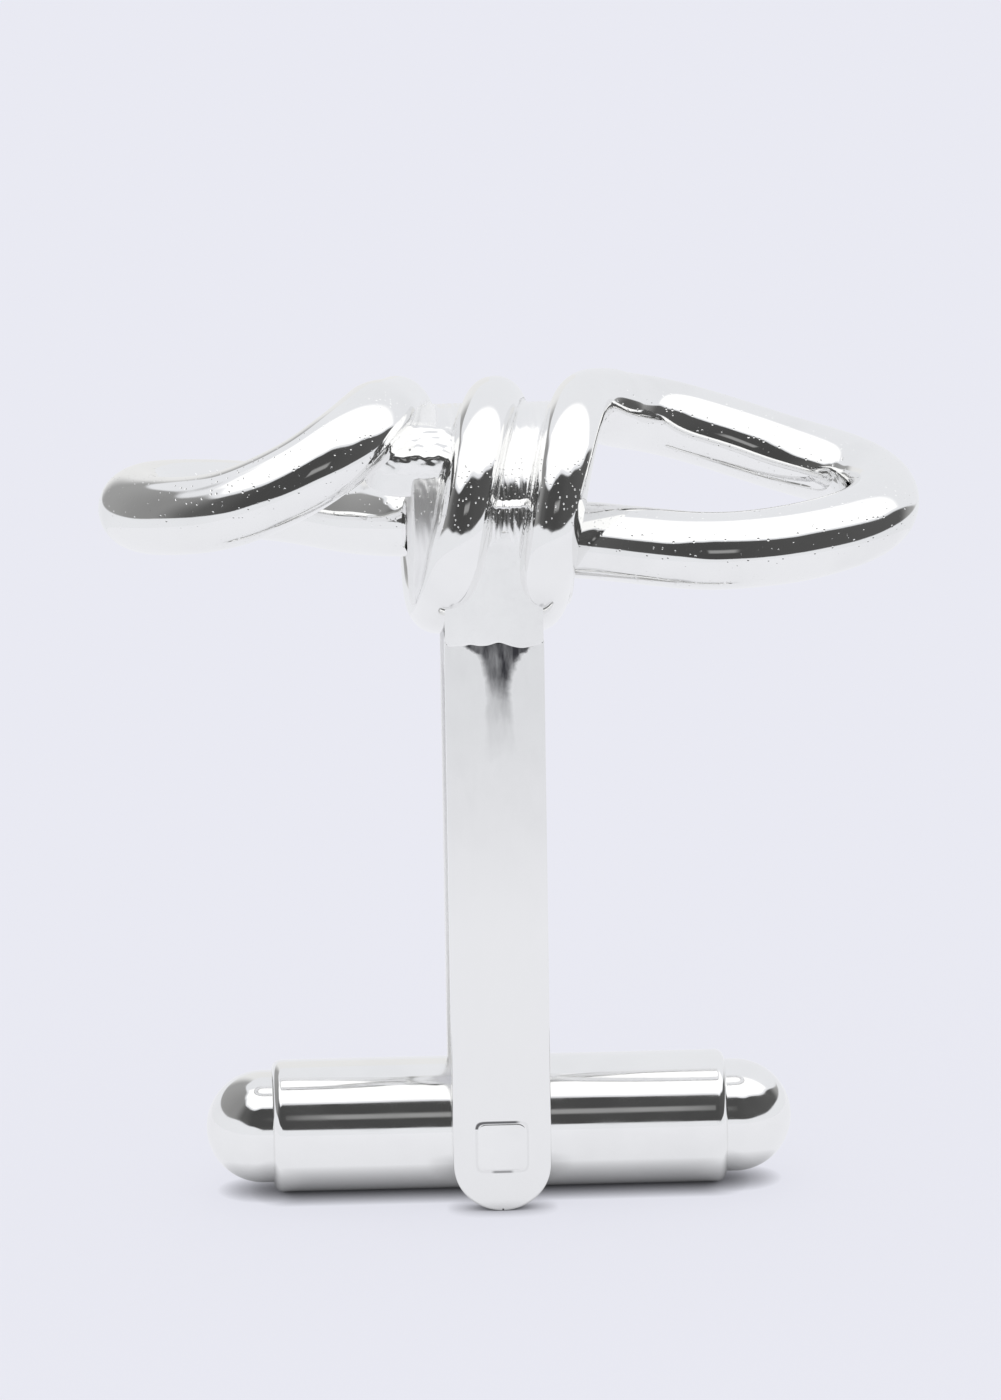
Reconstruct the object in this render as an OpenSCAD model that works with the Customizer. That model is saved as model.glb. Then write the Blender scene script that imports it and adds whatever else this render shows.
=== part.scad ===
// A knot of round wire on a two-legged post, closed by a bullet-shaped toggle.
// Millimetres. Z is up, X runs along the knot and the closed toggle, and the front faces -Y.
// The origin is on the surface that the cufflink stands on, below the middle of the hinge pin.

/* [Toggle] */
// Outer diameter of the toggle's barrel
barrel_d = 4.2; // [3.8:0.1:4.8]
// Length of the barrel, without the tips
barrel_length = 14.4; // [12:0.1:18]
// Thickness of the barrel's wall
barrel_wall = 0.3; // [0.2:0.05:0.4]
// Straight part of each tip that shows outside the barrel
tip_straight = 0.3; // [0.1:0.05:1]
// How deep each tip's plug sits in the barrel
plug_depth = 1.5; // [0.8:0.1:2.5]
// Rounding of the barrel's end edges
barrel_round = 0.12; // [0.05:0.01:0.18]

/* [Hinge] */
// Side of the square hinge pin
pin_side = 1.56; // [1.3:0.02:1.7]
// Diameter to which the pin's corners are turned down
pin_corner_d = 2.1; // [1.9:0.02:2.2]
// Radial running clearance between the pin's corners and the barrel's cross hole
pin_clearance = 0.03; // [0.02:0.01:0.08]

/* [Leaf springs] */
// Thickness of each leaf spring
leaf_thickness = 0.2; // [0.1:0.05:0.25]
// Width of each leaf spring
leaf_width = 1.5; // [1:0.1:1.7]
// Clearance that keeps a spring off the pin's flat and off the bore
leaf_clearance = 0.02; // [0.01:0.01:0.05]

/* [Post] */
// Width of each leg, seen from the front
leg_width = 3.1; // [2.6:0.1:3.8]
// Thickness of each leg
leg_thickness = 0.8; // [0.6:0.05:1.1]
// Clearance between the barrel and each leg
leg_clearance = 0.1; // [0.05:0.01:0.2]
// Height of the knot's middle above the hinge pin
knot_height = 20.1; // [18:0.1:24]
// Thickness of the bridge at the middle of the cradle
bridge_thickness = 0.9; // [0.6:0.1:1.5]
// How deep the wraps sit in the cradle
seat_depth = 0.15; // [0.05:0.05:0.4]
// Rounding of the post's shoulders
shoulder_round = 0.5; // [0.2:0.05:0.8]
// Rounding in the window's upper corners
window_round = 0.6; // [0.3:0.1:1.2]

/* [Wraps] */
// Radius of the wraps, from the knot's middle to the wire's middle
wrap_radius = 3.26; // [2.8:0.02:3.6]
// Diameter of the wire in the wraps
wrap_wire_d = 1.8; // [1.6:0.05:2]
// Distance from one wrap to the next
wrap_pitch = 3; // [2.6:0.1:3.4]

/* [Core] */
// Radius of the drum inside the wraps
core_radius = 3.18; // [2.9:0.02:3.3]
// Length of the drum's straight part
core_length = 4.8; // [4.4:0.1:5.4]
// Height of the drum's domed ends
dome_height = 0.2; // [0.1:0.1:0.6]
// Width of the solder under the drum, from front to back
solder_width = 2.4; // [1.6:0.1:3]

/* [Loops] */
// Diameter of the wire in the loops
loop_wire_d = 2.42; // [2.1:0.02:2.6]
// Reach of the left loop, from the knot's middle to its outside
left_reach = 12.25; // [11.5:0.05:14]
// Reach of the right loop, from the knot's middle to its outside
right_reach = 13.5; // [11.5:0.05:14]
// Half the distance between the middles of a loop's two strands
strand_spread = 3.5; // [3.2:0.1:4.2]
// How far each loop's low strand sits in the drum
socket_depth = 0.3; // [0.2:0.1:0.6]

/* [Hidden] */

silver = "silver";
bright = "gainsboro";
steel = "slategray";

// Facets of round shapes, sides of a wire, rings in one wrap and in one span of a loop
round_fn = 96;
wire_sides = 16;
rings_per_wrap = 24;
rings_per_span = 4;
// Length by which every cut runs past the face that it opens
cut_past = 1;

// Toggle and hinge
pivot_z = barrel_d / 2;
bore_r = barrel_d / 2 - barrel_wall;
cross_hole_r = pin_corner_d / 2 + pin_clearance;
plug_face = barrel_length / 2 - plug_depth;

// Post
leg_inside = barrel_d / 2 + leg_clearance;
leg_outside = leg_inside + leg_thickness;
knot_z = pivot_z + knot_height;
wrap_outside = wrap_radius + wrap_wire_d / 2;
post_top = knot_z - wrap_outside + seat_depth;
window_top = knot_z - wrap_outside - bridge_thickness;

// Leaf springs: each bows from the bore's wall at its ends to the pin's flat at its middle
leaf_near = pin_side / 2 + leaf_clearance;
leaf_end_z = sqrt(pow(bore_r, 2) - pow(leaf_width / 2, 2)) - leaf_clearance;
leaf_half = plug_face - leaf_clearance;
leaf_sag = leaf_end_z - leaf_near - leaf_thickness;
leaf_bend_r = (pow(leaf_half, 2) + pow(leaf_sag, 2)) / (2 * leaf_sag);
leaf_half_angle = asin(leaf_half / (leaf_bend_r + leaf_thickness));

// The wraps start over the knot's left and end over its right, two turns later
wraps = 2;
wrap_turn = 360 * wraps;
core_half = core_length / 2;
dome_r = (pow(core_radius, 2) + pow(dome_height, 2)) / (2 * dome_height);

// How far along the knot the wraps have come at each quarter turn, as shares of their pitch:
// over the top, down the back, under the drum and up the front, twice, and over the top again
wrap_drift_shares = [-0.98, -0.66, -0.59, -0.32, 0.05, 0.25, 0.42, 0.62, 0.98];

// The bends of each loop, from its low end round the tip to the top of the wraps.
// Shares of the reach, of the strands' spread and of the wraps' radius.
left_bend_shares = [
    [0.37, 0.62, -0.24],
    [0.55, 0.97, -0.20],
    [0.75, 0.90, -0.10],
    [0.94, 0.54, 0.00],
    [1.00, 0.00, 0.04],
    [0.94, -0.54, 0.09],
    [0.75, -0.90, 0.22],
    [0.55, -1.00, 0.52],
    [0.42, -0.90, 0.79],
    [0.33, -0.54, 0.95]
];
right_bend_shares = [
    [0.38, 0.74, -0.26],
    [0.56, 0.98, -0.27],
    [0.76, 0.90, -0.23],
    [0.94, 0.54, -0.14],
    [1.00, 0.00, -0.03],
    [0.94, -0.54, 0.08],
    [0.76, -0.90, 0.23],
    [0.57, -1.00, 0.46],
    [0.43, -0.92, 0.63],
    [0.33, -0.60, 0.77]
];
// Where each low end meets the drum, as shares of the spread and of the wraps' radius
low_end_shares = [0.20, -0.17];
// Share of a loop's last span in which its wire thins to that of the wraps
thin_share = 0.9;

// Vector helpers and a smooth curve through points
function unit(v) = v / norm(v);
function between(p, i, t) =
    0.5 * (2 * p[i] + (p[i + 1] - p[i - 1]) * t
        + (2 * p[i - 1] - 5 * p[i] + 4 * p[i + 1] - p[i + 2]) * pow(t, 2)
        + (3 * p[i] - p[i - 1] - 3 * p[i + 1] + p[i + 2]) * pow(t, 3));
function smooth(p, steps) = concat(
    [for (i = [1 : len(p) - 3], k = [0 : steps - 1]) between(p, i, k / steps)],
    [p[len(p) - 2]]
);

// The drift carried on past both ends of the wraps, and its value at an angle
drift = concat(
    [2 * wrap_drift_shares[0] - wrap_drift_shares[1]],
    wrap_drift_shares,
    [2 * wrap_drift_shares[4 * wraps] - wrap_drift_shares[4 * wraps - 1]]
);
function drift_at(angle) =
    let (quarter = min(4 * wraps - 1, floor(angle / 90)))
    between(drift, quarter + 1, angle / 90 - quarter);

// The middle of the wraps' wire at an angle from its start, about the knot's middle
function wrap_point(angle) = [
    wrap_pitch * drift_at(angle),
    wrap_radius * sin(angle),
    wrap_radius * cos(angle)
];
// Direction of the wire over the top of the drum, where the drift over a quarter turn is given
function top_way(quarter_drift) = unit([wrap_pitch * quarter_drift * 2 / PI, wrap_radius, 0]);
start_way = top_way(drift[1] - drift[0]);
end_way = top_way(drift[len(drift) - 1] - drift[len(drift) - 2]);

// The left loop's strand, with a point before its start and one after its end
function loop_path(reach, bend_shares, high_end, high_way) =
    let (
        middle_reach = reach - loop_wire_d / 2,
        low_y = low_end_shares[0] * strand_spread,
        low_z = low_end_shares[1] * wrap_radius,
        low_end = [-(core_half + dome_height - socket_depth), low_y, low_z],
        bends = [for (s = bend_shares) [-s[0] * middle_reach, s[1] * strand_spread, s[2] * wrap_radius]],
        last_bend = bends[len(bends) - 1],
        before = [bends[0][0] + 2 * (low_end[0] - bends[0][0]), bends[0][1], bends[0][2]],
        after = last_bend + 2 * norm(high_end - last_bend) * high_way
    )
    concat([before, low_end], bends, [high_end, after]);

// Half-thickness of a loop's wire at each ring of its path
function loop_radii(rings) = [
    for (i = [0 : rings - 1])
        let (thick_share = min(1, (rings - 1 - i) / (rings_per_span * thin_share)))
        wrap_wire_d / 2 + (loop_wire_d - wrap_wire_d) / 2 * thick_share
];
function backwards(list) = [for (i = [len(list) - 1 : -1 : 0]) list[i]];
function half_turn(path) = [for (p = path) [-p[0], -p[1], p[2]]];

// The knot's whole wire: left loop, wraps, then the right loop from its high end to its low end
wrap_rings = rings_per_wrap * wraps;
left_loop_path = loop_path(left_reach, left_bend_shares, wrap_point(0), start_way);
left_path = smooth(left_loop_path, rings_per_span);
right_top = half_turn([wrap_point(wrap_turn)])[0];
right_loop_path = loop_path(right_reach, right_bend_shares, right_top, end_way);
right_path = backwards(half_turn(smooth(right_loop_path, rings_per_span)));
wire_path = concat(
    left_path,
    [for (i = [1 : wrap_rings - 1]) wrap_point(wrap_turn * i / wrap_rings)],
    right_path
);
wire_radii = concat(
    loop_radii(len(left_path)),
    [for (i = [1 : wrap_rings - 1]) wrap_wire_d / 2],
    backwards(loop_radii(len(right_path)))
);
wire_last = len(wire_path) - 1;
wraps_first = len(left_path) - 1;
wraps_last = wraps_first + wrap_rings;

// Direction of the wire at each ring; both low ends enter the drum square to its face
wire_ways = [
    for (i = [0 : wire_last])
        i == 0 || i == wire_last ? [-1, 0, 0] : unit(wire_path[i + 1] - wire_path[i - 1])
];
// A side direction for each ring, carried along the wire without twist
function carried(i, made) =
    i > wire_last ? made :
    let (
        last_side = made[i - 1],
        side = unit(last_side - (last_side * wire_ways[i]) * wire_ways[i])
    )
    carried(i + 1, concat(made, [side]));
wire_side = carried(1, [[0, 0, 1]]);

// The least gap between the wire's turns round the drum, measured from ring to ring
wrap_gap = min([
    for (i = [wraps_first : wraps_last - rings_per_wrap / 2], j = [i + rings_per_wrap / 2 : wraps_last])
        norm(wire_path[i] - wire_path[j]) - wrap_wire_d
]);
echo(least_gap_between_wraps_mm = wrap_gap);

// The knot's wire from one ring to another, about the knot's middle
module wire(first, last) {
    n = wire_sides;
    rings = last - first + 1;
    points = [
        for (i = [first : last], k = [0 : n - 1])
            let (other = cross(wire_ways[i], wire_side[i]), a = 360 * k / n)
            wire_path[i] + wire_radii[i] * (cos(a) * wire_side[i] + sin(a) * other)
    ];
    skin = [
        for (i = [0 : rings - 2], k = [0 : n - 1], half = [0, 1])
            let (a = i * n + k, b = i * n + (k + 1) % n)
            half == 0 ? [a, a + n, b + n] : [a, b + n, b]
    ];
    start_cap = [for (k = [1 : n - 2]) [0, k, k + 1]];
    end_first = (rings - 1) * n;
    end_cap = [for (k = [1 : n - 2]) [end_first, end_first + k + 1, end_first + k]];
    polyhedron(points = points, faces = concat(skin, start_cap, end_cap), convexity = 8);
}

// Everything in the knot is drawn about its middle and then put in place
module at_knot() {
    translate([0, 0, knot_z]) children();
}

// A cylinder along X from one place to another
module bar_x(r, from, to) {
    translate([from, 0, 0]) rotate([0, 90, 0]) cylinder(r = r, h = to - from, $fn = round_fn);
}

// A cylinder along Y through the middle
module bar_y(r, length) {
    rotate([90, 0, 0]) cylinder(r = r, h = length, center = true, $fn = round_fn);
}

// A box from one corner to the other
module block(low, high) {
    translate(low) cube(high - low);
}

module left_loop() {
    color(silver) at_knot() wire(0, wraps_first);
}

module right_loop() {
    color(silver) at_knot() wire(wraps_last, wire_last);
}

module wrap_coil() {
    color(bright) at_knot() wire(wraps_first, wraps_last);
}

// The drum's right half in section: straight, then domed
module drum_shape() {
    square([core_radius, core_half]);
    intersection() {
        translate([0, core_half + dome_height - dome_r]) circle(r = dome_r, $fn = round_fn);
        translate([0, core_half]) square([core_radius, dome_height]);
    }
}

// The drum with a socket for each loop's low end and a seat for its high end
module drum() {
    difference() {
        rotate([0, 90, 0]) rotate_extrude($fn = round_fn) {
            drum_shape();
            mirror([0, 1]) drum_shape();
        }
        wire(0, wraps_first);
        wire(wraps_last, wire_last);
    }
}

// The drum with the wraps' groove cut round it
module knot_core() {
    color("darkgray") at_knot() difference() {
        drum();
        wire(wraps_first, wraps_last);
    }
}

// A bar along X with its two upper edges rounded
module round_topped(half_x, half_y, bottom, top, r) {
    block([-half_x, -half_y, bottom], [half_x, half_y, top - r]);
    block([-half_x, -(half_y - r), bottom], [half_x, half_y - r, top]);
    for (side = [-1, 1])
        translate([0, side * (half_y - r), top - r]) bar_x(r, -half_x, half_x);
}

// The post before its window, cradle and pin holes are cut, with round leg ends
module post_block() {
    intersection() {
        round_topped(leg_width / 2, leg_outside, 0, post_top, shoulder_round);
        union() {
            translate([0, 0, leg_width / 2]) bar_y(leg_width / 2, 2 * leg_outside + cut_past);
            block([-leg_width, -leg_outside - cut_past, leg_width / 2],
                [leg_width, leg_outside + cut_past, knot_z]);
        }
    }
}

module post_frame() {
    color(silver) difference() {
        post_block();
        round_topped(leg_width / 2 + cut_past, leg_inside, -cut_past, window_top, window_round);
        translate([0, 0, knot_z]) bar_x(wrap_outside, -leg_width, leg_width);
        translate([0, 0, pivot_z]) cube([pin_side, 2 * leg_outside + cut_past, pin_side], center = true);
    }
}

// Solder between the drum and the cradle, on both sides of the wraps
module seat_solder() {
    color("lightgray") at_knot() difference() {
        intersection() {
            bar_x(wrap_outside, -leg_width / 2, leg_width / 2);
            block([-leg_width, -solder_width / 2, -wrap_outside], [leg_width, solder_width / 2, 0]);
        }
        bar_x(core_radius, -leg_width, leg_width);
        wire(wraps_first, wraps_last);
    }
}

// A square bar with its corners turned down, flush with both legs
module hinge_pin() {
    color(steel) translate([0, 0, pivot_z]) intersection() {
        cube([pin_side, 2 * leg_outside, pin_side], center = true);
        bar_y(pin_corner_d / 2, 2 * leg_outside + cut_past);
    }
}

// The barrel's wall, half of its section, turned about the toggle's axis
module barrel_wall_shape() {
    half = barrel_length / 2;
    outside = barrel_d / 2;
    translate([bore_r, -half + barrel_round]) square([barrel_wall, barrel_length - 2 * barrel_round]);
    translate([bore_r, -half]) square([barrel_wall - barrel_round, barrel_length]);
    for (end = [-1, 1])
        translate([outside - barrel_round, end * (half - barrel_round)]) circle(r = barrel_round, $fn = 32);
}

module toggle_barrel() {
    color(silver) translate([0, 0, pivot_z]) difference() {
        rotate([0, 90, 0]) rotate_extrude($fn = round_fn) barrel_wall_shape();
        bar_y(cross_hole_r, barrel_d + cut_past);
    }
}

// A plug for the barrel's right end, with a round nose
module toggle_tip() {
    nose = barrel_length / 2 + tip_straight;
    bar_x(bore_r, plug_face, nose);
    intersection() {
        translate([nose, 0, 0]) sphere(r = bore_r, $fn = round_fn);
        bar_x(bore_r, nose, nose + bore_r);
    }
}

module toggle_tip_left() {
    color(bright) translate([0, 0, pivot_z]) rotate([0, 0, 180]) toggle_tip();
}

module toggle_tip_right() {
    color(bright) translate([0, 0, pivot_z]) toggle_tip();
}

// A strip bent to an arc that lies on the pin's upper flat with its middle
module leaf_spring() {
    translate([0, 0, leaf_near + leaf_thickness + leaf_bend_r]) rotate([90, 90 + leaf_half_angle, 0])
        rotate_extrude(angle = 2 * leaf_half_angle, $fn = round_fn)
            translate([leaf_bend_r, -leaf_width / 2]) square([leaf_thickness, leaf_width]);
}

module leaf_spring_upper() {
    color(steel) translate([0, 0, pivot_z]) leaf_spring();
}

module leaf_spring_lower() {
    color(steel) translate([0, 0, pivot_z]) mirror([0, 0, 1]) leaf_spring();
}

left_loop();
right_loop();
wrap_coil();
knot_core();
seat_solder();
post_frame();
hinge_pin();
toggle_barrel();
toggle_tip_left();
toggle_tip_right();
leaf_spring_upper();
leaf_spring_lower();
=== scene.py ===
# %% [markdown]
# # A knot cufflink in polished silver
# Round wire makes a loop to each side and two wraps round a short drum. A post with two legs
# carries the knot, and a bullet-shaped toggle turns on a square pin between the legs.
# Polished silver has almost no colour of its own: what you see is its shape and its
# surroundings. So the work is in true, smooth surfaces and in the light around them.

# %% Load the frame
import math

import bpy
import numpy as np
from mathutils import Matrix, Vector


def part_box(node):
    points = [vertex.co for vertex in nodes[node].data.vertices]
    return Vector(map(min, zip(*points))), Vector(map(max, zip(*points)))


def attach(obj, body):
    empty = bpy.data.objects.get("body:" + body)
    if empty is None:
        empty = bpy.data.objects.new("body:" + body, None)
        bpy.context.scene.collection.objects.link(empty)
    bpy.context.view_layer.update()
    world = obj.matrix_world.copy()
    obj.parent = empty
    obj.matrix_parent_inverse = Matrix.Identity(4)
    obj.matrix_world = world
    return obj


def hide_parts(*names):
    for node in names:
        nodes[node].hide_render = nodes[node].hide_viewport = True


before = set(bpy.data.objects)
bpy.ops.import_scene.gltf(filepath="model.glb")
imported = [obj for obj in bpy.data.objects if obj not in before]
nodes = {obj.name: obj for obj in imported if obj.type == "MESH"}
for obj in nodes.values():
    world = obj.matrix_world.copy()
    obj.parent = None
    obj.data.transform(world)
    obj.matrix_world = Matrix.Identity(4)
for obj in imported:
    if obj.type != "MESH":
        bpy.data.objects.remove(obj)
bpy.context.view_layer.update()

mm = 0.001
print("nodes:", sorted(nodes))

# %% [markdown]
# ## Measures
# The CAD source works in millimetres, so this script does too. Every finished point is
# multiplied by `mm` just before it goes into a mesh. What the frame already knows, such as the
# height of the hinge pin, is read from it; the rest repeats the values of the source.

# %% Measures of the knot, in millimetres
wrap_radius = 3.26
wrap_wire_r = 0.9
loop_wire_r = 1.21
wrap_pitch = 3.0
wraps = 2
core_radius = 3.18
core_half = 2.4
dome_height = 0.2
socket_depth = 0.3
strand_spread = 3.5
left_reach = 12.25
right_reach = 13.5

# %% Measures from the frame
pin_low, pin_high = (np.array(corner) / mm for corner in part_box("hinge_pin"))
barrel_low, barrel_high = (np.array(corner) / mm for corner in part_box("toggle_barrel"))
post_low, post_high = (np.array(corner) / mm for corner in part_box("post_frame"))
tip_low, tip_high = (np.array(corner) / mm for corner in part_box("toggle_tip_right"))
knot_low, knot_high = (np.array(corner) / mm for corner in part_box("wrap_coil"))
pivot_z = (pin_low[2] + pin_high[2]) / 2
knot_z = (knot_low[2] + knot_high[2]) / 2
barrel_r = (barrel_high[2] - barrel_low[2]) / 2
tip_r = (tip_high[2] - tip_low[2]) / 2
print("pin at", round(pivot_z, 3), "knot at", round(knot_z, 3), "barrel radius", round(barrel_r, 3))

# %% [markdown]
# ## From numbers to a mesh
# Each new piece is a grid of points: one direction runs along the piece, the other runs round
# it. The faces follow from the grid, and so do the normals, which a mirror finish shows at
# once where they are wrong. They are worked out from the whole grid before it is cut into
# pieces, so that no seam shows where two pieces meet.


# %% A grid's own normals
def grid_normals(grid):
    """Outward normals of a grid that closes round its second direction.

    At each point: the step to the next neighbour round the piece, crossed with the step to the
    next neighbour along it, made one unit long.
    """
    along = np.gradient(grid, axis=0)
    around = np.roll(grid, -1, axis=1) - np.roll(grid, 1, axis=1)
    normals = np.cross(around, along)
    lengths = np.linalg.norm(normals, axis=2, keepdims=True)
    return normals / np.maximum(lengths, 1e-12)


# %% Put a grid into a mesh
def skin(name, grid, normals, capped=True):
    """A mesh from a grid of points in millimetres, closed with a pole at each end.

    Point k of ring i is joined to point k + 1 of its ring and to point k of ring i + 1. Each end
    gets one more point, in the middle of its ring, unless it stays open.
    """
    rings, sides, _ = grid.shape
    index = np.arange(rings * sides).reshape(rings, sides)
    here, beside = index[:-1], np.roll(index, -1, axis=1)[:-1]
    ahead, ahead_beside = index[1:], np.roll(index, -1, axis=1)[1:]
    quads = np.stack([here, beside, ahead_beside, ahead], axis=-1).reshape(-1, 4)
    first_pole, last_pole = rings * sides, rings * sides + 1
    first, last = index[0], index[-1]
    first_cap = np.stack([np.full(sides, first_pole), np.roll(first, -1), first], axis=1)
    last_cap = np.stack([np.full(sides, last_pole), last, np.roll(last, -1)], axis=1)
    points = np.vstack([grid.reshape(-1, 3), grid[0].mean(0), grid[-1].mean(0)])
    ends = np.array([grid[0].mean(0) - grid[1].mean(0), grid[-1].mean(0) - grid[-2].mean(0)])
    ends /= np.maximum(np.linalg.norm(ends, axis=1, keepdims=True), 1e-12)
    directions = np.vstack([normals.reshape(-1, 3), ends])

    mesh = bpy.data.meshes.new(name)
    faces = quads.tolist()
    if capped:
        faces += first_cap.tolist() + last_cap.tolist()
    else:
        points, directions = points[:-2], directions[:-2]
    mesh.from_pydata((points * mm).tolist(), [], faces)
    mesh.polygons.foreach_set("use_smooth", np.ones(len(faces), bool))
    mesh.normals_split_custom_set_from_vertices(directions.tolist())
    mesh.update()
    piece = bpy.data.objects.new(name, mesh)
    bpy.context.scene.collection.objects.link(piece)
    print(name, len(points), "points")
    return piece


# %% [markdown]
# ## The wire
# One length of wire makes the left loop, the wraps and the right loop. Its route is a smooth
# curve through listed bends. A plain curve of this kind bends suddenly at each point,
# which polished metal shows as a kink in its reflections, so the route is eased afterwards:
# every point moves a little towards the middle of its neighbours, again and again.


# %% A smooth curve through points
def through(points, steps):
    """The cubic curve that passes each point in the direction from the one before to the next."""
    p = np.asarray(points, float)
    t = (np.arange(steps) / steps)[None, :, None]
    a, b, c, d = (p[i : len(p) - 3 + i, None] for i in range(4))
    squares, cubes = 2 * a - 5 * b + 4 * c - d, 3 * b - a - 3 * c + d
    bends = 2 * b + (c - a) * t + squares * t**2 + cubes * t**3
    return np.vstack([0.5 * bends.reshape(-1, p.shape[1]), p[-2:-1]])


def eased(line, passes):
    """The same line after each inner point has been averaged with its neighbours many times."""
    line = line.copy()
    for _ in range(passes):
        line[1:-1] = (line[:-2] + 2 * line[1:-1] + line[2:]) / 4
    return line


# %% The route of the wraps
steps_per_quarter = 36
wrap_drift = [-0.98, -0.66, -0.59, -0.32, 0.05, 0.25, 0.42, 0.62, 0.98]
first_drift = 2 * wrap_drift[0] - wrap_drift[1]
last_drift = 2 * wrap_drift[-1] - wrap_drift[-2]
drift_stops = [[share] for share in [first_drift, *wrap_drift, last_drift]]
drift = through(drift_stops, steps_per_quarter)[:, 0]
turned = np.linspace(0, 2 * math.pi * wraps, len(drift))


def round_drum(angle, drifted, radius):
    """Points round the drum: over its top at angle zero, then down its back."""
    return np.stack([wrap_pitch * drifted, radius * np.sin(angle), radius * np.cos(angle)], axis=-1)


wrap_route = round_drum(turned, drift, wrap_radius)

# %% The routes of the two loops
left_bends = np.array([
    [0.37, 0.62, -0.24],
    [0.55, 0.97, -0.20],
    [0.75, 0.90, -0.10],
    [0.94, 0.54, 0.00],
    [1.00, 0.00, 0.04],
    [0.94, -0.54, 0.09],
    [0.75, -0.90, 0.22],
    [0.55, -1.00, 0.52],
    [0.42, -0.90, 0.79],
    [0.33, -0.54, 0.95],
])
right_bends = np.array([
    [0.38, 0.74, -0.26],
    [0.56, 0.98, -0.27],
    [0.76, 0.90, -0.23],
    [0.94, 0.54, -0.14],
    [1.00, 0.00, -0.03],
    [0.94, -0.54, 0.08],
    [0.76, -0.90, 0.23],
    [0.57, -1.00, 0.46],
    [0.43, -0.92, 0.63],
    [0.33, -0.60, 0.77],
])
left_low_end = np.array([0.20, -0.17])
right_low_end = np.array([0.46, -0.25])
half_turn = np.array([-1, -1, 1])


def loop_route(reach, bends, low_end_shares, high_end, quarter_drift):
    """From the low end in the drum, round the tip of the loop, to the top of the wraps."""
    shares = np.array([-(reach - loop_wire_r), strand_spread, wrap_radius])
    low_end = np.append(-(core_half + dome_height - socket_depth), low_end_shares * shares[1:])
    places = bends * shares
    before = places[0].copy()
    before[0] = 2 * low_end[0] - places[0][0]
    way = np.array([wrap_pitch * quarter_drift * 2 / math.pi, wrap_radius, 0])
    after = places[-1] + 2 * np.linalg.norm(high_end - places[-1]) * way / np.linalg.norm(way)
    return through([before, low_end, *places, high_end, after], steps_per_quarter)


left_route = loop_route(
    left_reach, left_bends, left_low_end, wrap_route[0], wrap_drift[0] - first_drift
)
right_route = loop_route(
    right_reach, right_bends, right_low_end, wrap_route[-1] * half_turn,
    last_drift - wrap_drift[-1],
)
right_route = (right_route * half_turn)[::-1]
left_last = len(left_route) - 1
wraps_last = left_last + len(wrap_route) - 1
route = eased(np.vstack([left_route, wrap_route[1:], right_route[1:]]), 90)
print("rings along the wire:", len(route))


# %% A tube along the wire
def carried_sides(ways):
    """A side direction for each ring: the last one, less the part of it that points along."""
    sides = np.zeros_like(ways)
    sides[0] = [0, 0, 1]
    for i in range(1, len(ways)):
        side = sides[i - 1] - (sides[i - 1] @ ways[i]) * ways[i]
        sides[i] = side / np.linalg.norm(side)
    return sides


def waves(points, length, seed, crossing=6):
    """Gentle unevenness between -1 and 1: the mean of sine waves that cross in many directions."""
    rng = np.random.default_rng(seed)
    ways = rng.normal(size=(crossing, 3))
    ways /= np.linalg.norm(ways, axis=1, keepdims=True)
    phases = rng.uniform(0, 2 * math.pi, crossing)
    return np.sin(points @ ways.T * (2 * math.pi / length) + phases).mean(axis=-1)


wire_sides = 72
loop_to_wrap = 0.9 * steps_per_quarter
from_left = np.clip((left_last - np.arange(len(route))) / loop_to_wrap, 0, 1)
from_right = np.clip((np.arange(len(route)) - wraps_last) / loop_to_wrap, 0, 1)
thick_share = from_left + from_right
thick_share = thick_share**2 * (3 - 2 * thick_share)
wire_r = wrap_wire_r + (loop_wire_r - wrap_wire_r) * thick_share
ways = np.gradient(route, axis=0)
ways /= np.linalg.norm(ways, axis=1, keepdims=True)
sides = carried_sides(ways)
others = np.cross(ways, sides)
round_wire = np.linspace(0, 2 * math.pi, wire_sides, endpoint=False)[None, :, None]
outward = np.cos(round_wire) * sides[:, None] + np.sin(round_wire) * others[:, None]
bare = route[:, None] + wire_r[:, None, None] * outward
hand_made = 0.02 * waves(bare, 4.5, seed=3) + 0.006 * waves(bare, 1.6, seed=4)
wire_grid = bare + hand_made[..., None] * outward

# %% The three pieces of the wire
wire_normals = grid_normals(wire_grid)
knot_middle = np.array([0, 0, knot_z])
lengths = {
    "left_loop_wire": slice(0, left_last + 1),
    "wrap_wire": slice(left_last, wraps_last + 1),
    "right_loop_wire": slice(wraps_last, len(route)),
}
wire = {
    name: skin(name, wire_grid[part] + knot_middle, wire_normals[part])
    for name, part in lengths.items()
}

# %% [markdown]
# ## The drum
# The drum shows between the wraps. On the real one, marks run round it, and solder has crept
# into the corner beside each wrap. Both are parts of one height: how far the surface stands
# from the drum's axis at each place along it and round it.

# %% The drum's surface
across, end_face = 190, 14
seam_angle = math.radians(270 + 12.8)
x = np.linspace(-core_half, core_half, across)[:, None]
near_seam = np.linspace(-0.13, 0.13, 90)
far_from_seam = np.linspace(0.13, 2 * math.pi - 0.13, 350)[1:-1]
angle = np.mod(seam_angle + np.concatenate([near_seam, far_from_seam]), 2 * math.pi)
angle = np.sort(angle)[None, :]
turn_of = np.concatenate([angle, angle + 2 * math.pi])
wrap_x = wrap_pitch * np.interp(turn_of, turned, drift)
gap = np.abs(x[None] - wrap_x[:, None, :]).min(axis=0) - wrap_wire_r
flat = np.stack(
    np.broadcast_arrays(x, core_radius * np.sin(angle), core_radius * np.cos(angle)), axis=-1
)
creep = 0.13 + 0.06 * waves(flat, 2.2, seed=8)
near_wrap = np.clip(creep - gap, 0, creep)
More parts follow.
